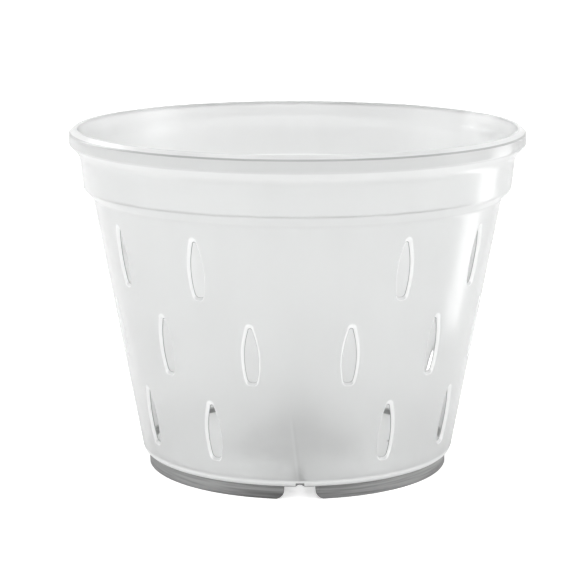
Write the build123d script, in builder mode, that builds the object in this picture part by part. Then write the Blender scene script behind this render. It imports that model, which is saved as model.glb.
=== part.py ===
"""Slotted orchid pot: one thin moulded shell with rows of air slots, a thick rim,
a stacking band, a foot ring with drain notches and a hollow air cone in the floor.

Millimetres, +Z up. The origin is the centre of the foot ring, on the ground.
Azimuths are counted from the front (-Y) towards the right (+X).
"""

import os
from math import atan, cos, radians, sin

from build123d import *

# Overall sizes
pot_height = 113.0
rim_diameter = 150.0
wall_thickness = 1.2
overrun = 2.0

# Rim: a solid bead round the mouth, with a crown, an upright face and a sloping underside
rim_crown_width = 1.8
rim_crown_drop = 1.5
rim_top_width = 1.0
rim_face_height = 3.5
rim_overhang = 3.3
rim_underside_height = 3.5
rim_edge_round = 0.6
rim_mouth_round = 0.5
rim_underside_round = 0.8

# Stacking band under the rim, which a pot set inside another rests on
band_height = 11.0
band_draft = 1.2
step_width = 3.1
step_height = 3.2
step_round = 1.8
band_top_round = 5.0
step_foot_round = 2.3

# Tapered wall
wall_foot_diameter = 103.2
bottom_round = 2.8

# Foot ring, set in from the foot of the wall, with a notch in each quadrant so that water runs off
foot_height = 4.2
foot_inset = 1.7
foot_ring_width = 1.2
foot_notch_width = 9.8
foot_notch_round = 3.2
foot_notch_count = 4

# Air cone: it stands in the middle of the floor like the bell of a trumpet, hollow from below
# and vented through its flank
cone_height = 24.0
cone_base_diameter = 46.0
cone_top_diameter = 8.0
cone_flank_bow = 6.5
cone_top_round = 2.5
vent_length = 9.0
vent_width = 2.4
vent_centre_height = 9.5
vent_count = 4

# Drain slots: radial, in the floor, with their outer ends breaking through the bottom corner
drain_length = 20.0
drain_width = 2.6
drain_end_inset = 0.15

# Air slots in the wall: leaf-shaped, with a round tip and a blunt foot. Their sides narrow
# inwards by slot_bevel, and the tip runs down inwards as a longer ramp.
slot_length = 20.6
slot_width = 6.0
slot_tip_width = 2.8
slot_foot_width = 3.6
slot_bevel = 0.8
slot_tip_bevel = 2.0
slot_widest_share = -0.04
slot_tip_rise_share = 1.1
slot_foot_round_share = 0.95
slot_row_count = 3
slot_row_pitch = 26.75
lowest_row_height = 21.9
slots_per_quadrant = 3

# Radii and heights that follow
rim_radius = rim_diameter / 2
rim_edge_z = pot_height - rim_crown_drop
rim_under_z = rim_edge_z - rim_face_height
band_top_z = rim_under_z - rim_underside_height
band_bottom_z = band_top_z - band_height
wall_top_z = band_bottom_z - step_height
floor_top_z = foot_height + wall_thickness
crown_radius = rim_radius - rim_crown_width
mouth_radius = crown_radius - rim_top_width
band_top_radius = rim_radius - rim_overhang
band_bottom_radius = band_top_radius - band_draft
wall_top_radius = band_bottom_radius - step_width
wall_foot_radius = wall_foot_diameter / 2
foot_radius = wall_foot_radius - foot_inset
quadrant = 360 / foot_notch_count

# The wall leans outwards. Its bore lies wall_across inside it, measured level.
wall_rise = wall_top_z - foot_height
wall_lean = atan((wall_top_radius - wall_foot_radius) / wall_rise)
wall_across = wall_thickness / cos(wall_lean)
step_lift = wall_thickness / 2


def wall_radius(z):
    """Outer radius of the tapered wall at a height."""
    return wall_foot_radius + (z - foot_height) * (wall_top_radius - wall_foot_radius) / wall_rise


def outward_plane(azimuth, radius, z, lean=0.0):
    """A plane that faces outwards at an azimuth, its X round the pot and its Y up the wall."""
    turn = radians(azimuth)
    return Plane(
        origin=(radius * sin(turn), -radius * cos(turn), z),
        x_dir=(cos(turn), sin(turn), 0),
        z_dir=(sin(turn) * cos(lean), -cos(turn) * cos(lean), -sin(lean)),
    )


# Places of the air slots. The middle row stands at half steps. The rows above and below it
# stand at whole steps and leave out the azimuths of the foot notches.
slot_step = quadrant / slots_per_quadrant
slot_planes = []
for row in range(slot_row_count):
    row_z = lowest_row_height + row * slot_row_pitch
    for place in range(slots_per_quadrant * foot_notch_count):
        half_step_row = row % 2 == 1
        if half_step_row or place % slots_per_quadrant != 0:
            azimuth = slot_step * (place + (0.5 if half_step_row else 0))
            slot_planes.append(outward_plane(azimuth, wall_radius(row_z), row_z, wall_lean))

# Tool for one air slot, about the middle of its mouth: a ruled loft between the leaf outline
# outside the wall and the smaller one inside it
slot_clearance = wall_thickness / 4
with BuildPart() as slot_tool:
    for depth in (-slot_clearance, wall_thickness + slot_clearance):
        depth_share = depth / wall_thickness
        inset = slot_bevel * depth_share
        tip = slot_length / 2 - slot_tip_bevel * depth_share
        foot = inset - slot_length / 2
        half_width = slot_width / 2 - inset
        half_tip = slot_tip_width / 2 - inset
        half_foot = (slot_foot_width - inset) / 2
        shoulder = tip - half_tip * slot_tip_rise_share
        widest = slot_length * slot_widest_share
        with BuildSketch(Plane.XY.offset(-depth)) as leaf:
            with BuildLine():
                ThreePointArc((half_foot, foot), (half_width, widest), (half_tip, shoulder))
                ThreePointArc((half_tip, shoulder), (0, tip), (-half_tip, shoulder))
                ThreePointArc((-half_tip, shoulder), (-half_width, widest), (-half_foot, foot))
                Line((-half_foot, foot), (half_foot, foot))
            make_face()
            fillet(leaf.vertices().group_by(Axis.Y)[0], half_foot * slot_foot_round_share)
    loft(ruled=True)

with BuildPart() as slotted_pot:
    # Shell: floor, tapered wall, step, band and rim, outside up and inside down
    wall_foot = (wall_foot_radius, foot_height)
    wall_top = (wall_top_radius, wall_top_z)
    band_bottom = (band_bottom_radius, band_bottom_z)
    band_top = (band_top_radius, band_top_z)
    rim_under = (rim_radius, rim_under_z)
    rim_edge = (rim_radius, rim_edge_z)
    mouth = (mouth_radius, pot_height)
    bore_band_bottom = (band_bottom_radius - wall_thickness, band_bottom_z + step_lift)
    bore_wall_top = (wall_top_radius - wall_across, wall_top_z + step_lift)
    bore_foot = (wall_radius(floor_top_z) - wall_across, floor_top_z)
    with BuildSketch(Plane.XZ) as shell_profile:
        with BuildLine():
            Polyline(
                (0, foot_height),
                wall_foot,
                wall_top,
                band_bottom,
                band_top,
                rim_under,
                rim_edge,
                (crown_radius, pot_height),
                mouth,
                (band_top_radius - wall_thickness, band_top_z),
                bore_band_bottom,
                bore_wall_top,
                bore_foot,
                (0, floor_top_z),
                close=True,
            )
        make_face()
        rounded_corners = (
            (wall_foot, bottom_round),
            (bore_foot, bottom_round - wall_thickness),
            (wall_top, step_foot_round),
            (bore_wall_top, step_foot_round + wall_thickness),
            (band_bottom, step_round),
            (bore_band_bottom, step_round - wall_thickness),
            (band_top, band_top_round),
            (rim_under, rim_underside_round),
            (rim_edge, rim_edge_round),
            (mouth, rim_mouth_round),
        )
        for corner, corner_round in rounded_corners:
            fillet(shell_profile.vertices().sort_by_distance(corner)[0], corner_round)
    revolve(axis=Axis.Z)

    # Foot ring under the bottom corner
    with BuildSketch(Plane.XZ) as foot_profile:
        with BuildLine():
            Polyline(
                (foot_radius - foot_ring_width, 0),
                (foot_radius, 0),
                (foot_radius, floor_top_z),
                (foot_radius - foot_ring_width, floor_top_z),
                close=True,
            )
        make_face()
    revolve(axis=Axis.Z)

    # Notches in the foot ring. Its ends are rounded off towards the ground.
    half_notch = foot_notch_width / 2
    half_notch_mouth = half_notch + foot_notch_round
    notch_planes = [outward_plane(quadrant * i, foot_radius, 0) for i in range(foot_notch_count)]
    with BuildSketch(*notch_planes):
        with BuildLine():
            Line((-half_notch_mouth, 0), (half_notch_mouth, 0))
            RadiusArc((half_notch_mouth, 0), (half_notch, foot_notch_round), foot_notch_round)
            Line((half_notch, foot_notch_round), (half_notch, foot_height))
            Line((half_notch, foot_height), (-half_notch, foot_height))
            Line((-half_notch, foot_height), (-half_notch, foot_notch_round))
            RadiusArc((-half_notch, foot_notch_round), (-half_notch_mouth, 0), foot_notch_round)
        make_face()
    extrude(amount=foot_ring_width + overrun, both=True, mode=Mode.SUBTRACT)

    # Air cone: its outside is added and its hollow cut away
    cone_base_radius = cone_base_diameter / 2
    cone_top_radius = cone_top_diameter / 2
    cone_lean = atan((cone_base_radius - cone_top_radius) / cone_height)
    cone_across = wall_thickness / cos(cone_lean)
    cone_top_z = floor_top_z + cone_height
    hollow_top_round = cone_top_round - wall_thickness
    cone_forms = (
        (0, floor_top_z, cone_top_z, cone_top_round, Mode.ADD),
        (cone_across, foot_height, cone_top_z - wall_thickness, hollow_top_round, Mode.SUBTRACT),
    )
    for inset, base_z, top_z, top_round, mode in cone_forms:
        flank_base = (cone_base_radius - inset, base_z)
        flank_top = (cone_top_radius - inset, top_z)
        with BuildSketch(Plane.XZ) as cone_profile:
            with BuildLine():
                Line((0, base_z), flank_base)
                SagittaArc(flank_base, flank_top, cone_flank_bow)
                Polyline(flank_top, (0, top_z), (0, base_z))
            make_face()
            fillet(cone_profile.vertices().sort_by_distance(flank_top)[0], top_round)
        revolve(axis=Axis.Z, mode=mode)

    # Vents through the flank of the cone
    vent_z = floor_top_z + vent_centre_height
    vent_planes = [outward_plane(360 / vent_count * (i + 0.5), 0, vent_z) for i in range(vent_count)]
    with BuildSketch(*vent_planes):
        SlotOverall(vent_length, vent_width, rotation=90)
    extrude(amount=cone_base_radius, mode=Mode.SUBTRACT)

    # Drain slots in the floor
    drain_outer = wall_foot_radius - drain_end_inset
    with BuildSketch(Plane.XY):
        with PolarLocations(drain_outer - drain_length / 2, foot_notch_count):
            SlotOverall(drain_length, drain_width)
    extrude(amount=floor_top_z, mode=Mode.SUBTRACT)

    # Air slots in the wall
    with Locations(*slot_planes):
        add(slot_tool.part, mode=Mode.SUBTRACT)

slotted_pot.part.label = "slotted_pot"

os.makedirs("parts", exist_ok=True)
export_step(slotted_pot.part, "parts/slotted_pot.step")
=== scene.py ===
"""Slotted orchid pot in frosted translucent plastic, on a pale floor in soft studio light.

The pot is one moulding. Its skin is built here as a fine mesh of quads: the leaf-shaped
air slots have rounded lips, which a coarse mesh would lose. Metres, +Z up, front at -Y.
"""

from math import atan, atan2, cos, hypot, pi, radians, sin, tan

import bmesh
import bpy
from mathutils import Matrix, Vector


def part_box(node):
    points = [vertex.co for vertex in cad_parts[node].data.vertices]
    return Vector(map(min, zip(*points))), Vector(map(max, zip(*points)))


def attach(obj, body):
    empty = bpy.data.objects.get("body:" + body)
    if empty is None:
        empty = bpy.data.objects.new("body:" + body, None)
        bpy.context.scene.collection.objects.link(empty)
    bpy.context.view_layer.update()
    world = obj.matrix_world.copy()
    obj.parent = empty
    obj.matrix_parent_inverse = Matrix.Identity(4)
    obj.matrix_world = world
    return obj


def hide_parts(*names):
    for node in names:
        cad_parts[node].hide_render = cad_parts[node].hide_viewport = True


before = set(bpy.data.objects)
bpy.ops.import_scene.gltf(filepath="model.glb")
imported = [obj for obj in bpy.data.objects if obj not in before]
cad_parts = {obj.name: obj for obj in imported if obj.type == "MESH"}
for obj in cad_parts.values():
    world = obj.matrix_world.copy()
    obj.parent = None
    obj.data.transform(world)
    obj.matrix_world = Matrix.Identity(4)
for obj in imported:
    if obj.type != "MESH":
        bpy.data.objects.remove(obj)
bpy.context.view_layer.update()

MM = 0.001

# Sizes of the moulding, as on the CAD node that this mesh replaces
pot_low, pot_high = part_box("slotted_pot")
POT_HEIGHT = pot_high.z - pot_low.z
RIM_RADIUS = 75.0 * MM
WALL = 1.2 * MM

RIM_CROWN_WIDTH = 1.8 * MM
RIM_CROWN_DROP = 1.5 * MM
RIM_TOP_WIDTH = 1.0 * MM
RIM_FACE_HEIGHT = 3.5 * MM
RIM_OVERHANG = 3.3 * MM
RIM_UNDERSIDE_HEIGHT = 3.5 * MM
RIM_EDGE_ROUND = 0.6 * MM
RIM_MOUTH_ROUND = 0.5 * MM
RIM_UNDERSIDE_ROUND = 0.8 * MM
BAND_TOP_ROUND = 5.0 * MM

BAND_HEIGHT = 11.0 * MM
BAND_DRAFT = 1.2 * MM
STEP_WIDTH = 3.1 * MM
STEP_HEIGHT = 3.2 * MM
STEP_ROUND = 1.8 * MM
STEP_FOOT_ROUND = 2.3 * MM

WALL_FOOT_RADIUS = 51.6 * MM
BOTTOM_ROUND = 2.8 * MM
FOOT_HEIGHT = 4.2 * MM
FOOT_INSET = 1.7 * MM
FOOT_RING_WIDTH = 1.2 * MM
FOOT_EDGE_ROUND = 0.3 * MM
NOTCH_WIDTH = 9.8 * MM
NOTCH_ROUND = 3.2 * MM
NOTCHES = 4

CONE_HEIGHT = 24.0 * MM
CONE_BASE_RADIUS = 23.0 * MM
CONE_TOP_RADIUS = 4.0 * MM
CONE_FLANK_BOW = 6.5 * MM
CONE_TOP_ROUND = 2.5 * MM
VENT_LENGTH = 9.0 * MM
VENT_WIDTH = 2.4 * MM
VENT_CENTRE_HEIGHT = 9.5 * MM
VENTS = 4

DRAIN_LENGTH = 20.0 * MM
DRAIN_WIDTH = 2.6 * MM
DRAIN_END_INSET = 0.15 * MM

SLOT_LENGTH = 20.6 * MM
SLOT_WIDTH = 6.0 * MM
SLOT_TIP_WIDTH = 2.8 * MM
SLOT_FOOT_WIDTH = 3.6 * MM
SLOT_BEVEL = 0.8 * MM
SLOT_TIP_BEVEL = 2.0 * MM
SLOT_LIP_ROUND = 0.35 * MM
SLOT_EDGE_ROUND = 0.18 * MM
SLOT_WIDEST_SHARE = -0.04
SLOT_TIP_RISE_SHARE = 1.1
SLOT_FOOT_ROUND_SHARE = 0.95
ROWS = 3
ROW_PITCH = 26.75 * MM
LOWEST_ROW_Z = 21.9 * MM
SLOTS_PER_QUADRANT = 3

# Knit line of the moulding over the front notch, leaning to the left as it rises
KNIT_LEAN = 0.115
KNIT_TOP_Z = 27.0 * MM
KNIT_WIDTH = 0.8 * MM
KNIT_GAP = 0.1 * MM

# Plastic: its index, the greys and the roughness that its clouds go between, and its grain
PLASTIC_IOR = 1.49
CLOUD_SIZE = 14.0 * MM
CLOUD_STRETCH = (1, 1, 3)
CLOUD_GREYS = (0.84, 0.89)
CLOUD_ROUGHNESS = (0.26, 0.34)
GRAIN_SIZE = 0.5 * MM
GRAIN_DEPTH = 0.2 * MM
GRAIN_STRENGTH = 0.05
WALL_CLEARNESS = 0.75
WALL_GLOSS = 0.5
GLOSS_ROUGHNESS = 0.16
# Lips: pale painted highlight and grey painted shade
LIP_CLEARNESS = 0.3
LIP_ROUGHNESS = 0.3
LIP_HIGHLIGHT_AND_SHADE_GREYS = (0.98, 0.2)
# Foot: greys of painted shade
FOOT_CLEARNESS = 0.1
FOOT_ROUGHNESS = 0.4
FOOT_SHADE_GREYS = (0.04, 0.34)

# Painted shade on the wall, and the knit line in painted shade and highlight, each as its strength and
# its grey
BEAD_SHADE = (0.55, 0.55)
RIM_LINE_SHADE = (0.7, 0.2)
CONE_SHADE = (0.6, 0.3)
FRONT_SHADE = (0.14, 0.3)
KNIT_LINE_SHADE = (0.1, 0.4)
KNIT_LINE_HIGHLIGHT = (0.5, 0.98)

# Strength of painted shade on the lips' ledges and inner edges, and of painted highlight where other
# skin is like the lips
LEDGE_SHADE_SHARE = 0.45
INNER_EDGE_SHADE_SHARE = 0.9
CORNER_HIGHLIGHT_SHARE = 0.7
UNDER_STEP_HIGHLIGHT_SHARE = 0.3

# Floor and surround: FLOOR_WHITE is the floor's own white to the eye, FLOOR_LIT the share that
# takes the light. The surround's levels are for its light only: to the eye it is white.
FLOOR_SIZE = 6.0
FLOOR_WHITE = 0.55
FLOOR_LIT = 0.8
SURROUND_RIGHT = 1.6
SURROUND_LEFT = 0.94
SURROUND_BACK = 1.05
SURROUND_FRONT = 0.56
SURROUND_ABOVE = 0.62
ABOVE_STARTS, ABOVE_FULL = 0.55, 0.95
NEAR_ZERO = 1e-6

# Camera, placed so that the ellipses of the rim and foot match the photograph's
CAMERA_DISTANCE = 704.85 * MM
CAMERA_HEIGHT = 199.2 * MM
CAMERA_TILT = radians(11.30)
CAMERA_AZIMUTH = radians(-1.0)
CAMERA_AIM = radians(0.253)
CAMERA_LENS = 134.4
CAMERA_SENSOR = 36.0
CAMERA_CLIP = (0.05, 20)

# Lamps: azimuth and elevation in degrees, distance, width and height in metres, and watts
LAMPS = {
    "front_top": (0, 42, 1.3, 0.9, 0.9, 7.0),
    "overhead": (0, 89, 1.2, 1.0, 1.0, 3.7),
    "right_side": (85, 12, 1.2, 0.5, 1.0, 2.6),
    "left_back": (-125, 25, 1.2, 0.7, 0.7, 4.0),
    "left_side": (-85, 12, 1.2, 0.5, 1.0, 4.0),
    "right_strip": (95, 0, 0.15, 0.04, 0.1, 0.028),
}

# Fineness of the mesh
CELL_STEPS = 16
CELL_RISES = 16
CELL_RINGS = 7
CELLS = SLOTS_PER_QUADRANT * NOTCHES
TURNS = CELLS * CELL_STEPS
LONGEST_FACE = 3.0 * MM
CELL_SPREAD = 1.6
CUT_OVERRUN = 2.0 * MM
DRAIN_CUT_OVERRUN = 0.02 * MM
WELD = 0.002 * MM
SHARP_ANGLE = radians(38)

# Heights and radii that follow
RIM_EDGE_Z = POT_HEIGHT - RIM_CROWN_DROP
RIM_UNDER_Z = RIM_EDGE_Z - RIM_FACE_HEIGHT
BAND_TOP_Z = RIM_UNDER_Z - RIM_UNDERSIDE_HEIGHT
BAND_BOTTOM_Z = BAND_TOP_Z - BAND_HEIGHT
WALL_TOP_Z = BAND_BOTTOM_Z - STEP_HEIGHT
FLOOR_TOP_Z = FOOT_HEIGHT + WALL
CONE_TOP_Z = FLOOR_TOP_Z + CONE_HEIGHT
CROWN_RADIUS = RIM_RADIUS - RIM_CROWN_WIDTH
MOUTH_RADIUS = CROWN_RADIUS - RIM_TOP_WIDTH
BAND_TOP_RADIUS = RIM_RADIUS - RIM_OVERHANG
FOOT_RADIUS = WALL_FOOT_RADIUS - FOOT_INSET
BAND_BOTTOM_RADIUS = BAND_TOP_RADIUS - BAND_DRAFT
WALL_TOP_RADIUS = BAND_BOTTOM_RADIUS - STEP_WIDTH
WALL_SLOPE = (WALL_TOP_RADIUS - WALL_FOOT_RADIUS) / (WALL_TOP_Z - FOOT_HEIGHT)
WALL_LEAN = atan(WALL_SLOPE)
WALL_ACROSS = WALL / cos(WALL_LEAN)
STEP_LIFT = WALL / 2
ROWS_BOTTOM_Z = LOWEST_ROW_Z - ROW_PITCH / 2
ROWS_TOP_Z = ROWS_BOTTOM_Z + ROWS * ROW_PITCH
CELL_ANGLE = 2 * pi / CELLS


def wall_radius(z):
    """Outer radius of the tapered wall at a height."""
    return WALL_FOOT_RADIUS + (z - FOOT_HEIGHT) * WALL_SLOPE


def wall_bore(z):
    """The point of the bore that lies across the wall from a height on its outside."""
    return wall_radius(z) - WALL * cos(WALL_LEAN), z + WALL * sin(WALL_LEAN)


def rounded(corners, steps=8):
    """A path through (point, radius) corners, with an arc in place of each corner that has a radius."""
    points = [Vector(point) for point, radius in corners]
    path = [tuple(points[0])]
    for before, corner, after, (_, radius) in zip(points, points[1:], points[2:], corners[1:]):
        if not radius:
            path.append(tuple(corner))
            continue
        back, ahead = (before - corner).normalized(), (after - corner).normalized()
        half_angle = back.angle(ahead) / 2
        centre = corner + (back + ahead).normalized() * radius / sin(half_angle)
        run = radius / tan(half_angle)
        start, end = corner + back * run - centre, corner + ahead * run - centre
        turn = atan2(start.cross(end), start.dot(end))
        path += [tuple(centre + Matrix.Rotation(turn * i / steps, 2) @ start) for i in range(steps + 1)]
    path.append(tuple(points[-1]))
    return path


def split_runs(path, longest):
    """The same path with its long runs split, so that faces stay even."""
    fine = [path[0]]
    for (x0, y0), (x1, y1) in zip(path, path[1:]):
        parts = max(1, round(hypot(x1 - x0, y1 - y0) / longest))
        fine += [(x0 + (x1 - x0) * i / parts, y0 + (y1 - y0) * i / parts) for i in range(1, parts + 1)]
    return fine


def resampled(path, count):
    """count even steps along a path, both ends included."""
    reach = [0.0]
    for (x0, y0), (x1, y1) in zip(path, path[1:]):
        reach.append(reach[-1] + hypot(x1 - x0, y1 - y0))
    even, run = [], 0
    for i in range(count + 1):
        goal = reach[-1] * i / count
        while run < len(path) - 2 and reach[run + 1] < goal:
            run += 1
        share = (goal - reach[run]) / (reach[run + 1] - reach[run])
        even.append(tuple(a + (b - a) * share for a, b in zip(path[run], path[run + 1])))
    return even


def arc_through(start, middle, end, steps):
    """Points of the circular arc through three points."""
    (ax, ay), (bx, by), (cx, cy) = start, middle, end
    d = 2 * (ax * (by - cy) + bx * (cy - ay) + cx * (ay - by))
    aa, bb, cc = ax * ax + ay * ay, bx * bx + by * by, cx * cx + cy * cy
    centre = Vector(((aa * (by - cy) + bb * (cy - ay) + cc * (ay - by)) / d,
                     (aa * (cx - bx) + bb * (ax - cx) + cc * (bx - ax)) / d))
    first, mid, last = (Vector(point) - centre for point in (start, middle, end))
    turn = atan2(first.cross(mid), first.dot(mid)) + atan2(mid.cross(last), mid.dot(last))
    return [tuple(centre + Matrix.Rotation(turn * i / steps, 2) @ first) for i in range(steps + 1)]


def bowed(start, end, bow, steps=10):
    """Points of the arc from start to end whose middle stands off the chord by bow, to its right."""
    chord = Vector(end) - Vector(start)
    side = Vector((chord.y, -chord.x)).normalized()
    middle = (Vector(start) + Vector(end)) / 2 + side * bow
    return arc_through(start, tuple(middle), end, steps)


def leaf(through):
    """Outline of an air slot as (across, up) points, from through 0 outside to 1 at the bore.

    It starts at the left end of the foot and runs along the foot, the right side, the tip
    and the left side.
    """
    inset = SLOT_BEVEL * through
    tip, foot = SLOT_LENGTH / 2 - SLOT_TIP_BEVEL * through, inset - SLOT_LENGTH / 2
    half_width, half_tip = SLOT_WIDTH / 2 - inset, SLOT_TIP_WIDTH / 2 - inset
    half_foot = (SLOT_FOOT_WIDTH - inset) / 2
    shoulder, widest = tip - half_tip * SLOT_TIP_RISE_SHARE, SLOT_LENGTH * SLOT_WIDEST_SHARE
    half_steps = CELL_STEPS // 2
    side = arc_through((half_foot, foot), (half_width, widest), (half_tip, shoulder), CELL_RISES)
    tip_arc = arc_through((half_tip, shoulder), (0, tip), (-half_tip, shoulder), CELL_STEPS)
    tip_half = tip_arc[:half_steps + 1]
    foot_round = half_foot * SLOT_FOOT_ROUND_SHARE
    corner = rounded([((0, foot), 0), (side[0], foot_round), (side[1], 0)], half_steps)
    foot_half = resampled(corner[:-1], half_steps)
    right = resampled(corner[-2:] + side[2:], CELL_RISES)
    half_loop = foot_half[:-1] + right[:-1] + tip_half
    mirrored = [(-x, y) for x, y in reversed(half_loop)]
    loop = half_loop[:-1] + mirrored[:-1]
    return loop[-half_steps:] + loop[:-half_steps]


def cell_border(azimuth, low_z):
    """Border of a wall cell in the same order as a leaf, as (azimuth, height) points."""
    left, high_z = azimuth - CELL_ANGLE / 2, low_z + ROW_PITCH
    across = [CELL_ANGLE * i / CELL_STEPS for i in range(CELL_STEPS)]
    up = [ROW_PITCH * i / CELL_RISES for i in range(CELL_RISES)]
    border = [(left + a, low_z) for a in across]
    border += [(left + CELL_ANGLE, low_z + u) for u in up]
    border += [(left + CELL_ANGLE - a, high_z) for a in across]
    return border + [(left, high_z - u) for u in up]


def on_wall(azimuth, z, depth):
    """A point at a depth under the outside of the tapered wall."""
    radius = wall_radius(z) - depth * cos(WALL_LEAN)
    return Vector((radius * sin(azimuth), -radius * cos(azimuth), z + depth * sin(WALL_LEAN)))


def add_loops(bm, loops, closed):
    """Quads between neighbouring loops of points. A loop shrunk to a point is welded later."""
    rows = [[bm.verts.new(point) for point in loop] for loop in loops]
    count = len(rows[0])
    for row, following in zip(rows, rows[1:]):
        for i in range(count if closed else count - 1):
            j = (i + 1) % count
            bm.faces.new((row[i], row[j], following[j], following[i]))


def add_turned(bm, path):
    """The surface that a path of (radius, height) points sweeps round the axis."""
    azimuths = [2 * pi * i / TURNS for i in range(TURNS)]
    loops = [[(r * sin(a), -r * cos(a), z) for a in azimuths] for r, z in path]
    add_loops(bm, loops, closed=True)


def add_plain_cell(bm, azimuth, low_z, depth):
    """A cell of the wall with no slot."""
    left = azimuth - CELL_ANGLE / 2
    loops = []
    for j in range(CELL_RISES + 1):
        z = low_z + ROW_PITCH * j / CELL_RISES
        azimuths = [left + CELL_ANGLE * i / CELL_STEPS for i in range(CELL_STEPS + 1)]
        loops.append([on_wall(a, z, depth) for a in azimuths])
    add_loops(bm, loops, closed=False)


def add_slot_cell(bm, azimuth, low_z):
    """A cell of the wall with a leaf-shaped slot: its outside, the slot's lip and its bore side."""
    middle_z = low_z + ROW_PITCH / 2
    border = cell_border(azimuth, low_z)

    def leaf_at(through):
        points = []
        for across, up in leaf(through):
            z = middle_z + up * cos(WALL_LEAN)
            points.append((azimuth + across / wall_radius(z), z))
        return points

    def skin(mouth, depth):
        loops = []
        for ring in range(CELL_RINGS + 1):
            share = (ring / CELL_RINGS) ** CELL_SPREAD
            loops.append([
                on_wall(a0 + (a1 - a0) * share, z0 + (z1 - z0) * share, depth)
                for (a0, z0), (a1, z1) in zip(mouth, border)
            ])
        add_loops(bm, loops, closed=True)

    # Section of the lip, in shares of the slant: outer rounding, slanted side, inner rounding
    lip, edge = SLOT_LIP_ROUND / SLOT_BEVEL, SLOT_EDGE_ROUND / SLOT_BEVEL
    section = curve_corner((-lip, 0), (0, 0), (lip / 2, lip / 2))
    section += curve_corner((1 - edge / 2, 1 - edge / 2), (1, 1), (1 - edge, 1))
    loops = [[on_wall(a, z, deep * WALL) for a, z in leaf_at(through)] for through, deep in section]
    add_loops(bm, loops, closed=True)
    skin(leaf_at(-lip), 0)
    skin(leaf_at(1 - edge), WALL)


def curve_corner(start, corner, end, steps=5):
    """A soft corner: the quadratic curve from start to end that leans on corner."""
    start, corner, end = Vector(start), Vector(corner), Vector(end)
    points = []
    for i in range(steps + 1):
        t = i / steps
        points.append(tuple(start * (1 - t) ** 2 + corner * 2 * t * (1 - t) + end * t * t))
    return points


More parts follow.
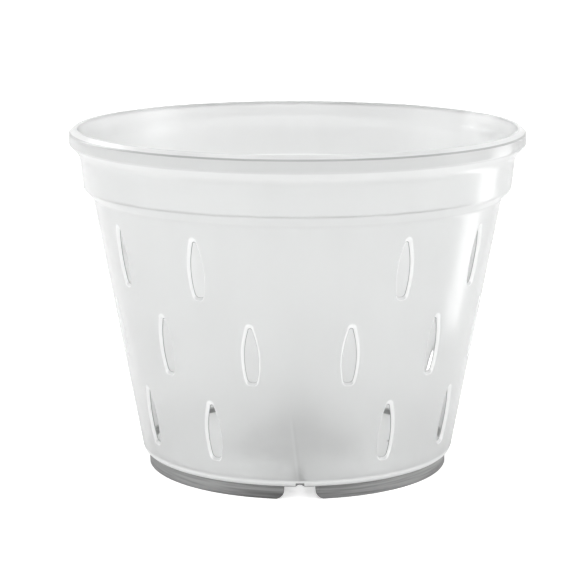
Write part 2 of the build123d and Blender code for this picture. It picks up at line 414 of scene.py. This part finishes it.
def pot_mesh():
    """The whole skin of the moulding, without the cuts in its floor and foot."""
    bm = bmesh.new()

    # Underside: hollow of the air cone, floor, foot ring, bottom corner, up to the rows of slots
    cone_lean = atan((CONE_BASE_RADIUS - CONE_TOP_RADIUS) / CONE_HEIGHT)
    cone_across = WALL / cos(cone_lean)
    hollow_top = (CONE_TOP_RADIUS - cone_across, CONE_TOP_Z - WALL)
    hollow_base = (CONE_BASE_RADIUS - cone_across, FOOT_HEIGHT)
    corner_arc = rounded([
        ((FOOT_RADIUS / 2, FOOT_HEIGHT), 0),
        ((WALL_FOOT_RADIUS, FOOT_HEIGHT), BOTTOM_ROUND),
        ((wall_radius(ROWS_BOTTOM_Z), ROWS_BOTTOM_Z), 0),
    ], steps=12)
    above_foot = [point for point in corner_arc if point[0] > FOOT_RADIUS]
    foot_bore = FOOT_RADIUS - FOOT_RING_WIDTH
    under = rounded([((0, hollow_top[1]), 0), (hollow_top, CONE_TOP_ROUND - WALL)]
                    + [(p, 0) for p in bowed(hollow_top, hollow_base, CONE_FLANK_BOW)[1:]]
                    + [((foot_bore, FOOT_HEIGHT), FOOT_EDGE_ROUND),
                       ((foot_bore, 0), FOOT_EDGE_ROUND),
                       ((FOOT_RADIUS, 0), FOOT_EDGE_ROUND),
                       ((FOOT_RADIUS, FOOT_HEIGHT), 0)]
                    + [(p, 0) for p in above_foot])
    add_turned(bm, split_runs(under, LONGEST_FACE))

    # From the rows of slots up over the step, band and rim, and down the bore
    over = rounded([
        ((wall_radius(ROWS_TOP_Z), ROWS_TOP_Z), 0),
        ((WALL_TOP_RADIUS, WALL_TOP_Z), STEP_FOOT_ROUND),
        ((BAND_BOTTOM_RADIUS, BAND_BOTTOM_Z), STEP_ROUND),
        ((BAND_TOP_RADIUS, BAND_TOP_Z), BAND_TOP_ROUND),
        ((RIM_RADIUS, RIM_UNDER_Z), RIM_UNDERSIDE_ROUND),
        ((RIM_RADIUS, RIM_EDGE_Z), RIM_EDGE_ROUND),
        ((CROWN_RADIUS, POT_HEIGHT), RIM_EDGE_ROUND),
        ((MOUTH_RADIUS, POT_HEIGHT), RIM_MOUTH_ROUND),
        ((BAND_TOP_RADIUS - WALL, BAND_TOP_Z), 0),
        ((BAND_BOTTOM_RADIUS - WALL, BAND_BOTTOM_Z + STEP_LIFT), STEP_ROUND - WALL),
        ((WALL_TOP_RADIUS - WALL_ACROSS, WALL_TOP_Z + STEP_LIFT), STEP_FOOT_ROUND + WALL),
        (wall_bore(ROWS_TOP_Z), 0),
    ])
    add_turned(bm, split_runs(over, LONGEST_FACE))

    # From the rows of slots down the bore, over the floor and up the air cone
    cone_top = (CONE_TOP_RADIUS, CONE_TOP_Z)
    cone_base = (CONE_BASE_RADIUS, FLOOR_TOP_Z)
    bore_foot = (wall_radius(FLOOR_TOP_Z) - WALL_ACROSS, FLOOR_TOP_Z)
    inside = rounded([(wall_bore(ROWS_BOTTOM_Z), 0), (bore_foot, BOTTOM_ROUND - WALL)]
                     + [(p, 0) for p in bowed(cone_top, cone_base, CONE_FLANK_BOW)[:0:-1]]
                     + [(cone_top, CONE_TOP_ROUND), ((0, CONE_TOP_Z), 0)])
    add_turned(bm, split_runs(inside, LONGEST_FACE))

    # Rows of cells: the middle row stands at half steps and has a slot in each cell
    for row in range(ROWS):
        low_z = ROWS_BOTTOM_Z + row * ROW_PITCH
        half_step_row = row % 2 == 1
        for place in range(CELLS):
            azimuth = CELL_ANGLE * (place + (0.5 if half_step_row else 0))
            if half_step_row or place % SLOTS_PER_QUADRANT:
                add_slot_cell(bm, azimuth, low_z)
            else:
                add_plain_cell(bm, azimuth, low_z, 0)
                add_plain_cell(bm, azimuth, low_z, WALL)

    bmesh.ops.remove_doubles(bm, verts=bm.verts, dist=WELD)
    bmesh.ops.dissolve_degenerate(bm, dist=WELD, edges=bm.edges)
    bmesh.ops.recalc_face_normals(bm, faces=bm.faces)
    open_edges = sum(not edge.is_manifold for edge in bm.edges)
    print("pot skin:", len(bm.verts), "points,", len(bm.faces), "faces,", open_edges, "open edges")
    mesh = bpy.data.meshes.new("slotted_pot_skin")
    bm.to_mesh(mesh)
    bm.free()
    return mesh


def extruded(outline, place, near, far):
    """A closed block from an outline of (x, y) points, between two heights of a placed plane."""
    bm = bmesh.new()
    ends = []
    for height in (near, far):
        ends.append([bm.verts.new(place @ Vector((x, y, height))) for x, y in outline])
    count = len(outline)
    for i in range(count):
        j = (i + 1) % count
        bm.faces.new((ends[0][i], ends[0][j], ends[1][j], ends[1][i]))
    bm.faces.new(reversed(ends[0]))
    bm.faces.new(ends[1])
    bmesh.ops.recalc_face_normals(bm, faces=bm.faces)
    mesh = bpy.data.meshes.new("cut")
    bm.to_mesh(mesh)
    bm.free()
    return mesh


def stadium(length, width, steps=12):
    """Outline of a slot with round ends, its length along X."""
    radius, reach = width / 2, (length - width) / 2
    turns = [pi * i / steps - pi / 2 for i in range(steps + 1)]
    right = [(reach + radius * cos(a), radius * sin(a)) for a in turns]
    return right + [(-x, -y) for x, y in right]


def facing_out(azimuth, z):
    """A frame on the axis at a height: X round the pot, Y up, Z outwards at an azimuth."""
    upright = Matrix.Rotation(azimuth, 4, "Z") @ Matrix.Rotation(pi / 2, 4, "X")
    return Matrix.Translation((0, 0, z)) @ upright


def floor_and_foot_cuts():
    """Closed blocks for the notches in the foot, the drains in the floor and the vents in the cone."""
    cuts = []
    mouth = NOTCH_WIDTH / 2 + NOTCH_ROUND
    steps = 8
    quarter = [pi / 2 * i / steps for i in range(steps + 1)]
    right = [(mouth - NOTCH_ROUND * sin(a), NOTCH_ROUND * (1 - cos(a))) for a in quarter]
    right = [(mouth, -CUT_OVERRUN)] + right + [(NOTCH_WIDTH / 2, FOOT_HEIGHT)]
    notch = right + [(-x, y) for x, y in reversed(right)]
    drain = stadium(DRAIN_LENGTH, DRAIN_WIDTH)
    drain_middle = WALL_FOOT_RADIUS - DRAIN_END_INSET - DRAIN_LENGTH / 2
    for i in range(NOTCHES):
        azimuth = 2 * pi * i / NOTCHES
        near, far = FOOT_RADIUS - FOOT_RING_WIDTH - CUT_OVERRUN, FOOT_RADIUS + CUT_OVERRUN
        cuts.append(extruded(notch, facing_out(azimuth, 0), near, far))
        outwards = Matrix.Rotation(azimuth, 4, "Z") @ Matrix.Translation((drain_middle, 0, 0))
        cuts.append(extruded(drain, outwards, -CUT_OVERRUN, FLOOR_TOP_Z + DRAIN_CUT_OVERRUN))
    vent = [(y, x) for x, y in stadium(VENT_LENGTH, VENT_WIDTH)]
    for i in range(VENTS):
        vent_place = facing_out(2 * pi * (i + 0.5) / VENTS, FLOOR_TOP_Z + VENT_CENTRE_HEIGHT)
        cuts.append(extruded(vent, vent_place, WALL, CONE_BASE_RADIUS))
    return cuts


def make_pot():
    """The pot as one piece: its skin with the floor and foot cuts taken out."""
    pot = bpy.data.objects.new("slotted_pot_skin", pot_mesh())
    bpy.context.scene.collection.objects.link(pot)
    cutters = []
    for mesh in floor_and_foot_cuts():
        cutter = bpy.data.objects.new("cut", mesh)
        bpy.context.scene.collection.objects.link(cutter)
        cutters.append(cutter)
        cut = pot.modifiers.new("cut", "BOOLEAN")
        cut.operation = "DIFFERENCE"
        cut.solver = "MANIFOLD"
        cut.object = cutter
    evaluated = pot.evaluated_get(bpy.context.evaluated_depsgraph_get())
    finished = bpy.data.meshes.new_from_object(evaluated)
    pot.modifiers.clear()
    pot.data = finished
    for cutter in cutters:
        bpy.data.objects.remove(cutter)
    finished.shade_smooth()
    finished.set_sharp_from_angle(angle=SHARP_ANGLE)
    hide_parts("slotted_pot")
    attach(pot, "root")
    return pot


class Socket:
    """A value in a node tree, with the arithmetic that the finishes use."""

    def __init__(self, tree, output):
        self.tree, self.output = tree, output

    def math(self, operation, *others):
        node = self.tree.nodes.new("ShaderNodeMath")
        node.operation = operation
        for socket, value in zip(node.inputs, (self, *others)):
            join(self.tree, value, socket)
        return Socket(self.tree, node.outputs[0])

    def __add__(self, other):
        return self.math("ADD", other)

    def __sub__(self, other):
        return self.math("SUBTRACT", other)

    def __rsub__(self, other):
        return (self * -1.0).math("ADD", other)

    def __mul__(self, other):
        return self.math("MULTIPLY", other)

    def __truediv__(self, other):
        return self.math("DIVIDE", other)


def join(tree, value, socket):
    """Links a wrapped value to a socket, or sets a plain one on it."""
    if isinstance(value, Socket):
        tree.links.new(value.output, socket)
    elif value is not None:
        socket.default_value = value


class Shading:
    """The node tree of a material or of the surround, emptied and built up node by node."""

    def __init__(self, owner):
        owner.use_nodes = True
        self.tree = owner.node_tree
        self.tree.nodes.clear()

    def node(self, kind, settings=None, output=0, inputs=None, **values):
        """A node of a type, its settings, and the values or links of its sockets by place or name."""
        node = self.tree.nodes.new(kind)
        for name, value in (settings or {}).items():
            setattr(node, name, value)
        for place, value in (inputs or {}).items():
            join(self.tree, value, node.inputs[place])
        for name, value in values.items():
            join(self.tree, value, node.inputs[name.replace("_", " ")])
        return Socket(self.tree, node.outputs[output])

    def step(self, value, low, high):
        """0 below low and 1 above high, with a soft rise between them."""
        return self.node("ShaderNodeMapRange", {"interpolation_type": "SMOOTHSTEP"},
                         Value=value, From_Min=low, From_Max=high)

    def band(self, value, low, high, soft):
        """1 between low and high and 0 beyond them, with soft edges of a width."""
        above_low = self.step(value, low - soft / 2, low + soft / 2)
        above_high = self.step(value, high - soft / 2, high + soft / 2)
        return above_low * (1 - above_high)

    def axes(self, vector):
        """The three parts of a vector."""
        parts = self.node("ShaderNodeSeparateXYZ", Vector=vector).output.node.outputs
        return [Socket(self.tree, part) for part in parts]

    def scaled(self, value, low, high):
        """A 0 to 1 value spread from low to high."""
        return value * (high - low) + low

    def noise(self, place, size, detail=2.0, stretch=(1, 1, 1)):
        """Soft noise with patches of a size in metres, drawn out along the axes by stretch."""
        inputs = {0: place, 1: stretch}
        fitted = self.node("ShaderNodeVectorMath", {"operation": "DIVIDE"}, inputs=inputs)
        return self.node("ShaderNodeTexNoise", Vector=fitted, Scale=1 / size, Detail=detail)

    def mixed(self, share, first, second):
        """A blend of two colours."""
        inputs = {0: share, 6: first, 7: second}
        return self.node("ShaderNodeMix", {"data_type": "RGBA"}, output=2, inputs=inputs)

    def marked(self, where, colour, mark):
        """A colour with a mark laid over it, which is given as its strength and its grey."""
        strength, level = mark
        return self.mixed(where * strength, colour, grey(level))

    def blended(self, share, first, second):
        """A blend of two surfaces."""
        return self.node("ShaderNodeMixShader", inputs={0: share, 1: first, 2: second})

    def plastic(self, **values):
        """A plastic surface."""
        return self.node("ShaderNodeBsdfPrincipled", IOR=PLASTIC_IOR, **values)

    def finish(self, kind, surface):
        """Ends the tree in an output of a type."""
        output = self.tree.nodes.new(kind)
        self.tree.links.new(surface.output, output.inputs["Surface"])


def grey(level):
    """The plastic's faintly cool white at a level."""
    return (level * 0.995, level * 1.003, level, 1)


class Spot:
    """Where a point of the skin lies: its place, its parts, its radius and its depth in the wall."""

    def __init__(self, look):
        self.place = look.node("ShaderNodeTexCoord", output=3)
        self.x, self.y, self.z = look.axes(self.place)
        self.front = self.y * -1
        self.radius = (self.x * self.x + self.y * self.y).math("SQRT")
        wall_at_ground = WALL_FOOT_RADIUS - FOOT_HEIGHT * WALL_SLOPE
        self.depth = (self.z * WALL_SLOPE + wall_at_ground - self.radius) * cos(WALL_LEAN)


def rim_painted_shade(look, spot, colour):
    """Painted shade: the solid bead of the rim greyer, with a dark line along its outer edge."""
    bead_below, bead_above, bead_soft = 0.6 * MM, 0.4 * MM, 0.3 * MM
    line_below, line_above, line_soft = 0.15 * MM, 0.45 * MM, 0.15 * MM
    bead = look.band(spot.z, RIM_UNDER_Z - bead_below, RIM_EDGE_Z + bead_above, bead_soft)
    bead = bead * look.step(spot.radius, BAND_TOP_RADIUS, RIM_RADIUS)
    line = look.band(spot.z, RIM_EDGE_Z - line_below, RIM_EDGE_Z + line_above, line_soft) * bead
    return look.marked(line, look.marked(bead, colour, BEAD_SHADE), RIM_LINE_SHADE)


def cone_painted_shade(look, spot, colour):
    """Painted shade, greyer on and round the air cone. It narrows upwards."""
    narrowing = 1.5
    full_radius, faded_radius = 26 * MM, 38 * MM
    full_z, faded_z = 12 * MM, 30 * MM
    cone_shade_mask = 1 - look.step(spot.radius + spot.z * narrowing, full_radius, faded_radius)
    return look.marked(cone_shade_mask * (1 - look.step(spot.z, full_z, faded_z)), colour, CONE_SHADE)


def knit_line_painted_light(look, spot, colour):
    """Knit line over the front notch as painted highlight on its left and shade on its right, in
    painted shade.
    """
    front_shade_half, front_shade_faded = 4 * MM, 22 * MM
    front_shade_top_z, front_shade_end_z = 7 * MM, 18 * MM
    front_shade_reach, knit_front, front_soft = 48 * MM, 40 * MM, 1 * MM
    line_soft, end_soft = 0.5 * MM, 6 * MM
    # Painted shade low on the front, over the notch
    front_shade_mask = 1 - look.step(spot.x.math("ABSOLUTE"), front_shade_half, front_shade_faded)
    front_shade_mask = front_shade_mask * (1 - look.step(spot.z, front_shade_top_z, front_shade_end_z))
    front_shade_mask = front_shade_mask * look.step(spot.front, front_shade_reach, front_shade_reach + front_soft)
    colour = look.marked(front_shade_mask, colour, FRONT_SHADE)
    # The knit line, in painted shade beside painted highlight
    across = spot.x + (spot.z - FLOOR_TOP_Z) * KNIT_LEAN
    knit = look.band(spot.z, FLOOR_TOP_Z, KNIT_TOP_Z, end_soft)
    knit = knit * look.step(spot.front, knit_front, knit_front + front_soft)
    dark = look.band(across, 0.0, KNIT_WIDTH, line_soft) * knit
    pale = look.band(across, -KNIT_WIDTH, -KNIT_GAP, line_soft) * knit
    return look.marked(pale, look.marked(dark, colour, KNIT_LINE_SHADE), KNIT_LINE_HIGHLIGHT)


def wall_plastic(look, spot, relief):
    """Satin plastic with a cloudy flow, drawn out upwards, with painted shade and highlight on it."""
    clouds = look.noise(spot.place, CLOUD_SIZE, stretch=CLOUD_STRETCH)
    thin, thick = CLOUD_GREYS
    colour = look.mixed(clouds, grey(thin), grey(thick))
    for painting in (rim_painted_shade, cone_painted_shade, knit_line_painted_light):
        colour = painting(look, spot, colour)
    return look.plastic(Base_Color=colour, Roughness=look.scaled(clouds, *CLOUD_ROUGHNESS),
                        Normal=relief, Transmission_Weight=WALL_CLEARNESS,
                        Coat_Weight=WALL_GLOSS, Coat_Roughness=GLOSS_ROUGHNESS)


def lip_painted_light(look, spot):
    """Slot sides: pale painted highlight, with grey painted shade on the ledge at the foot and on the
    inner edge.
    """
    level, upward = 0.25, 0.6
    edge_starts, edge_full = WALL * 0.72, WALL * 0.86
    least_radius, least_soft = 48 * MM, 1 * MM
    facing_up = look.axes(look.node("ShaderNodeNewGeometry", output="Normal"))[2]
    # Painted shade on ledges that face up, and on the inner edge
    ledge_shade = look.step(facing_up, level, upward) * LEDGE_SHADE_SHARE
    inner_edge_shade = look.step(spot.depth, edge_starts, edge_full) * INNER_EDGE_SHADE_SHARE
    in_wall = look.step(spot.radius, least_radius, least_radius + least_soft)
    pale, dark = LIP_HIGHLIGHT_AND_SHADE_GREYS
    colour = look.mixed(ledge_shade.math("MAXIMUM", inner_edge_shade) * in_wall, grey(pale), grey(dark))
    return look.plastic(Base_Color=colour, Roughness=LIP_ROUGHNESS, Transmission_Weight=LIP_CLEARNESS)


def lip_painted_light_share(look, spot):
    """Where the lips' painted light is laid: on them, and where it turns, on the floor and atop the
    cone.
    """
    z, radius, soft = spot.z, spot.radius, 0.5 * MM
    lip_inset, lip_soft, rows_soft = 0.07 * MM, 0.08 * MM, 1 * MM
    lip = look.band(spot.depth, lip_inset, WALL - lip_inset, lip_soft)
    lip = lip * look.band(z, ROWS_BOTTOM_Z, ROWS_TOP_Z, rows_soft)

    # Painted highlight on the bottom corner above the foot
    corner_low, corner_high, corner_radius, corner_soft = 0.5 * MM, 2.6 * MM, 50 * MM, 1 * MM
    corner = look.band(z, FOOT_HEIGHT + corner_low, FOOT_HEIGHT + corner_high, soft)
    corner = corner * look.step(radius, corner_radius, corner_radius + corner_soft)

    # Painted highlight under the step
    under_step = look.band(z, WALL_TOP_Z + soft, BAND_BOTTOM_Z, soft)
    under_step = under_step * look.step(spot.depth * -1, 0.0, soft)

    # Painted light: the floor in the pot made pale
    floor_above, floor_starts, floor_full = 1 * MM, 22 * MM, 28 * MM
    floor = look.band(z, FOOT_HEIGHT - soft, FLOOR_TOP_Z + floor_above, soft)
    floor = floor * look.step(radius, floor_starts, floor_full)

    # Painted light atop the cone
    top_starts_z, top_full_z, top_radius, top_faded = 12 * MM, 24 * MM, 12 * MM, 20 * MM
    cone_top = look.step(z, top_starts_z, top_full_z) * (1 - look.step(radius, top_radius, top_faded))

    for place in (corner * CORNER_HIGHLIGHT_SHARE, under_step * UNDER_STEP_HIGHLIGHT_SHARE, floor, cone_top):
        lip = lip.math("MAXIMUM", place)
    return lip


def foot_painted_shade(look, spot, relief):
    """Painted shade in grey, streaked round the ring, darkest low down and beside the notches."""
    streak_size, streak_stretch, streak_detail = 2.5 * MM, (8, 8, 0.3), 4.0
    streak_low, streak_high = 0.35, 0.65
    ground_z = 0.5 * MM
    height_share, streak_share, off_notch_share = 0.3, 0.35, 0.45
    streaks = look.noise(spot.place, streak_size, streak_detail, streak_stretch)
    streaks = look.step(streaks, streak_low, streak_high)
    off_notch = (spot.x * spot.y).math("ABSOLUTE") / (spot.radius * spot.radius) * 2
    level = look.step(spot.z, ground_z, FOOT_HEIGHT) * height_share
    level = level + streaks * streak_share + off_notch * off_notch_share
    dark, pale = FOOT_SHADE_GREYS
    return look.plastic(Base_Color=look.mixed(level, grey(dark), grey(pale)), Normal=relief,
                        Roughness=FOOT_ROUGHNESS, Transmission_Weight=FOOT_CLEARNESS)


def foot_shade_share(look, spot):
    """Where the foot's painted shade is laid: on the ring, and in the drains through the floor."""
    ring_soft, ring_radius, radius_soft = 0.4 * MM, 48 * MM, 0.6 * MM
    ring = 1 - look.step(spot.z, FOOT_HEIGHT - ring_soft, FOOT_HEIGHT)
    ring = ring * look.step(spot.radius, ring_radius, ring_radius + radius_soft)

    # Painted shade in the drains through the floor
    side_starts, side_ends = DRAIN_WIDTH / 2 + 0.02 * MM, DRAIN_WIDTH / 2 + 0.12 * MM
    top_starts, top_ends = FLOOR_TOP_Z + 0.2 * MM, FLOOR_TOP_Z + 0.8 * MM
    inner_starts, inner_ends = 30 * MM, 32 * MM
    beside = spot.x.math("ABSOLUTE").math("MINIMUM", spot.y.math("ABSOLUTE"))
    drain = 1 - look.step(beside, side_starts, side_ends)
    drain = drain * (1 - look.step(spot.z, top_starts, top_ends))
    drain = drain * look.step(spot.radius, inner_starts, inner_ends)
    return ring.math("MAXIMUM", drain)


def frosted_plastic():
    """Frosted translucent polypropylene: satin walls, lips and corners paler as painted highlight, a
    foot in painted shade.
    """
    material = bpy.data.materials.new("frosted_plastic")
    look = Shading(material)
    spot = Spot(look)
    grain = look.noise(spot.place, GRAIN_SIZE)
    relief = look.node("ShaderNodeBump", Strength=GRAIN_STRENGTH, Distance=GRAIN_DEPTH, Height=grain)
    wall_and_lips = look.blended(lip_painted_light_share(look, spot), wall_plastic(look, spot, relief),
                                 lip_painted_light(look, spot))
    foot = foot_painted_shade(look, spot, relief)
    look.finish("ShaderNodeOutputMaterial", look.blended(foot_shade_share(look, spot), wall_and_lips, foot))
    return material


def make_camera():
    """The camera, in front of the pot and looking a little down into it."""
    data = bpy.data.cameras.new("camera")
    data.sensor_width = CAMERA_SENSOR
    data.lens = CAMERA_LENS
    data.clip_start, data.clip_end = CAMERA_CLIP
    camera = bpy.data.objects.new("camera", data)
    bpy.context.scene.collection.objects.link(camera)
    across, back = CAMERA_DISTANCE * sin(CAMERA_AZIMUTH), CAMERA_DISTANCE * cos(CAMERA_AZIMUTH)
    camera.location = (across, -back, CAMERA_HEIGHT)
    camera.rotation_euler = (pi / 2 - CAMERA_TILT, 0, CAMERA_AZIMUTH + CAMERA_AIM)
    bpy.context.scene.camera = camera


def add_lamp(name, azimuth, elevation, distance, width, height, watts):
    """A soft area lamp that faces the middle of the pot. Azimuth 0 is the front, 90 the right."""
    target = Vector((0, 0, POT_HEIGHT / 2))
    a, e = radians(azimuth), radians(elevation)
    place = target + Vector((sin(a) * cos(e), -cos(a) * cos(e), sin(e))) * distance
    data = bpy.data.lights.new(name, "AREA")
    data.shape = "RECTANGLE"
    data.size, data.size_y = width, height
    data.energy = watts
    lamp = bpy.data.objects.new(name, data)
    bpy.context.scene.collection.objects.link(lamp)
    lamp.location = place
    lamp.rotation_mode = "QUATERNION"
    lamp.rotation_quaternion = (target - place).to_track_quat("-Z", "Y")
    return lamp


def pale_floor():
    """White floor with a light shadow: to the eye part of its white is its own, the rest is lit."""
    material = bpy.data.materials.new("pale_floor")
    look = Shading(material)
    eye = look.node("ShaderNodeLightPath", output="Is Camera Ray")
    lit = look.node("ShaderNodeBsdfDiffuse", Color=(FLOOR_LIT, FLOOR_LIT, FLOOR_LIT, 1))
    white = look.node("ShaderNodeEmission", Strength=eye * FLOOR_WHITE)
    look.finish("ShaderNodeOutputMaterial", look.node("ShaderNodeAddShader", inputs={0: lit, 1: white}))
    material.cycles.emission_sampling = "NONE"
    return material


def make_floor():
    """The floor, wide enough to fill the view from any side."""
    half = FLOOR_SIZE / 2
    corners = [(-half, -half, 0), (half, -half, 0), (half, half, 0), (-half, half, 0)]
    mesh = bpy.data.meshes.new("floor")
    mesh.from_pydata(corners, [], [(0, 1, 2, 3)])
    floor = bpy.data.objects.new("floor", mesh)
    bpy.context.scene.collection.objects.link(floor)
    mesh.materials.append(pale_floor())


def make_surround():
    """White surround to the eye. As light it is brightest on the right and dim in front."""
    world = bpy.data.worlds.new("surround")
    bpy.context.scene.world = world
    look = Shading(world)
    eye = look.node("ShaderNodeLightPath", output="Is Camera Ray")
    x, y, z = look.axes(look.node("ShaderNodeTexCoord"))
    level = (x * x + y * y).math("MAXIMUM", NEAR_ZERO)
    above = look.step(z, ABOVE_STARTS, ABOVE_FULL)

    def side(axis, low, high):
        """Light from the two ends of an axis, each fading towards the sides."""
        return axis * axis / level * look.scaled(axis.math("GREATER_THAN", 0.0), low, high)

    round_about = side(x, SURROUND_LEFT, SURROUND_RIGHT) + side(y, SURROUND_FRONT, SURROUND_BACK)
    light = look.scaled(above, 0.0, SURROUND_ABOVE) + round_about * (1 - above)
    strength = eye + (1 - eye) * light
    surface = look.node("ShaderNodeBackground", Color=(1, 1, 1, 1), Strength=strength)
    look.finish("ShaderNodeOutputWorld", surface)


def make_lamps():
    """The lamps. The left side's leaves no glare, and the near strip at the right leaves only glare."""
    lamps = {name: add_lamp(name, *lamp) for name, lamp in LAMPS.items()}
    lamps["left_side"].visible_glossy = False
    lamps["right_strip"].visible_diffuse = False
    lamps["right_strip"].visible_transmission = False


pot = make_pot()
pot.data.materials.clear()
pot.data.materials.append(frosted_plastic())
make_camera()
make_floor()
make_surround()
make_lamps()
bpy.context.scene.view_settings.view_transform = "Standard"
